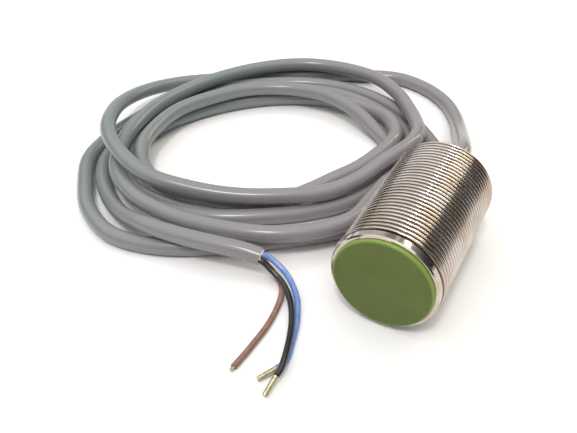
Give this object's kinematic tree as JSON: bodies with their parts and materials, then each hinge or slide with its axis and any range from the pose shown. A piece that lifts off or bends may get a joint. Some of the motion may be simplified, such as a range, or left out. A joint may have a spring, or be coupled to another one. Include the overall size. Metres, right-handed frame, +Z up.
{
  "type": "proximity sensor",
  "caption": "Cylindrical inductive proximity sensor with a fine-threaded metal barrel, plastic sensing face, moulded rear cable boot and a coiled grey cable ending in stripped cores",
  "frame": {"origin": "on the floor under the middle of the sensor, from sensing face to the end of the boot", "axes": "barrel axis along Y with the sensing face to -Y and the cable out at +Y, X across, +Z up"},
  "size_m": [0.1429, 0.1653, 0.03],
  "materials": {
    "nickel": "nickel plated, turned",
    "cap_plastic": "satin",
    "seal_rubber": "matt",
    "ferrite": "sintered, matt",
    "bobbin_plastic": "satin",
    "copper": "enamelled or bare copper",
    "carrier_plastic": "satin",
    "shield": "rolled sheet",
    "board": "solder resist on glass epoxy",
    "package": "moulded epoxy",
    "capacitor_ceramic": "fired, matt",
    "resistor_film": "glazed film",
    "can": "drawn can",
    "diode_glass": "gloss",
    "lamp": "gloss",
    "light_pipe": "polished, clear",
    "solder": "bright",
    "resin": "cast",
    "end_plastic": "satin",
    "jacket": "satin PVC",
    "core_blue": "satin PVC",
    "core_black": "satin PVC",
    "core_brown": "satin PVC",
    "tinned": "tin plated copper"
  },
  "bodies": {
    "root": {"threaded_barrel": "nickel", "sensing_face_cap": "cap_plastic", "cap_o_ring": "seal_rubber", "ferrite_pot_core": "ferrite", "coil_bobbin": "bobbin_plastic", "coil_winding": "copper", "coil_lead_start": "copper", "coil_lead_finish": "copper", "core_carrier": "carrier_plastic", "circuit_board": "board", "shield_sleeve": "shield", "oscillator_chip": "package", "output_transistor": "package", "voltage_regulator": "package", "tank_capacitor": "capacitor_ceramic", "filter_capacitor": "capacitor_ceramic", "gain_resistor": "resistor_film", "bias_resistor": "resistor_film", "sense_resistor": "resistor_film", "protection_diode": "diode_glass", "smoothing_capacitor": "can", "status_lamp": "lamp", "potting_plug": "resin", "rear_end_plug": "end_plastic", "plug_o_ring": "seal_rubber", "cable_crimp_ring": "tinned", "lamp_light_pipe": "light_pipe", "strain_relief_boot": "end_plastic", "cable_in_boot": "jacket", "brown_inner_core": "core_brown", "black_inner_core": "core_black", "blue_inner_core": "core_blue", "brown_solder_joint": "solder", "black_solder_joint": "solder", "blue_solder_joint": "solder", "coil_start_solder_joint": "solder", "coil_finish_solder_joint": "solder", "cable_jacket": "jacket", "blue_core": "core_blue", "black_core": "core_black", "brown_core": "core_brown", "blue_ferrule": "tinned", "black_ferrule": "tinned", "brown_bare_strands": "copper"}
  },
  "joints": []
}
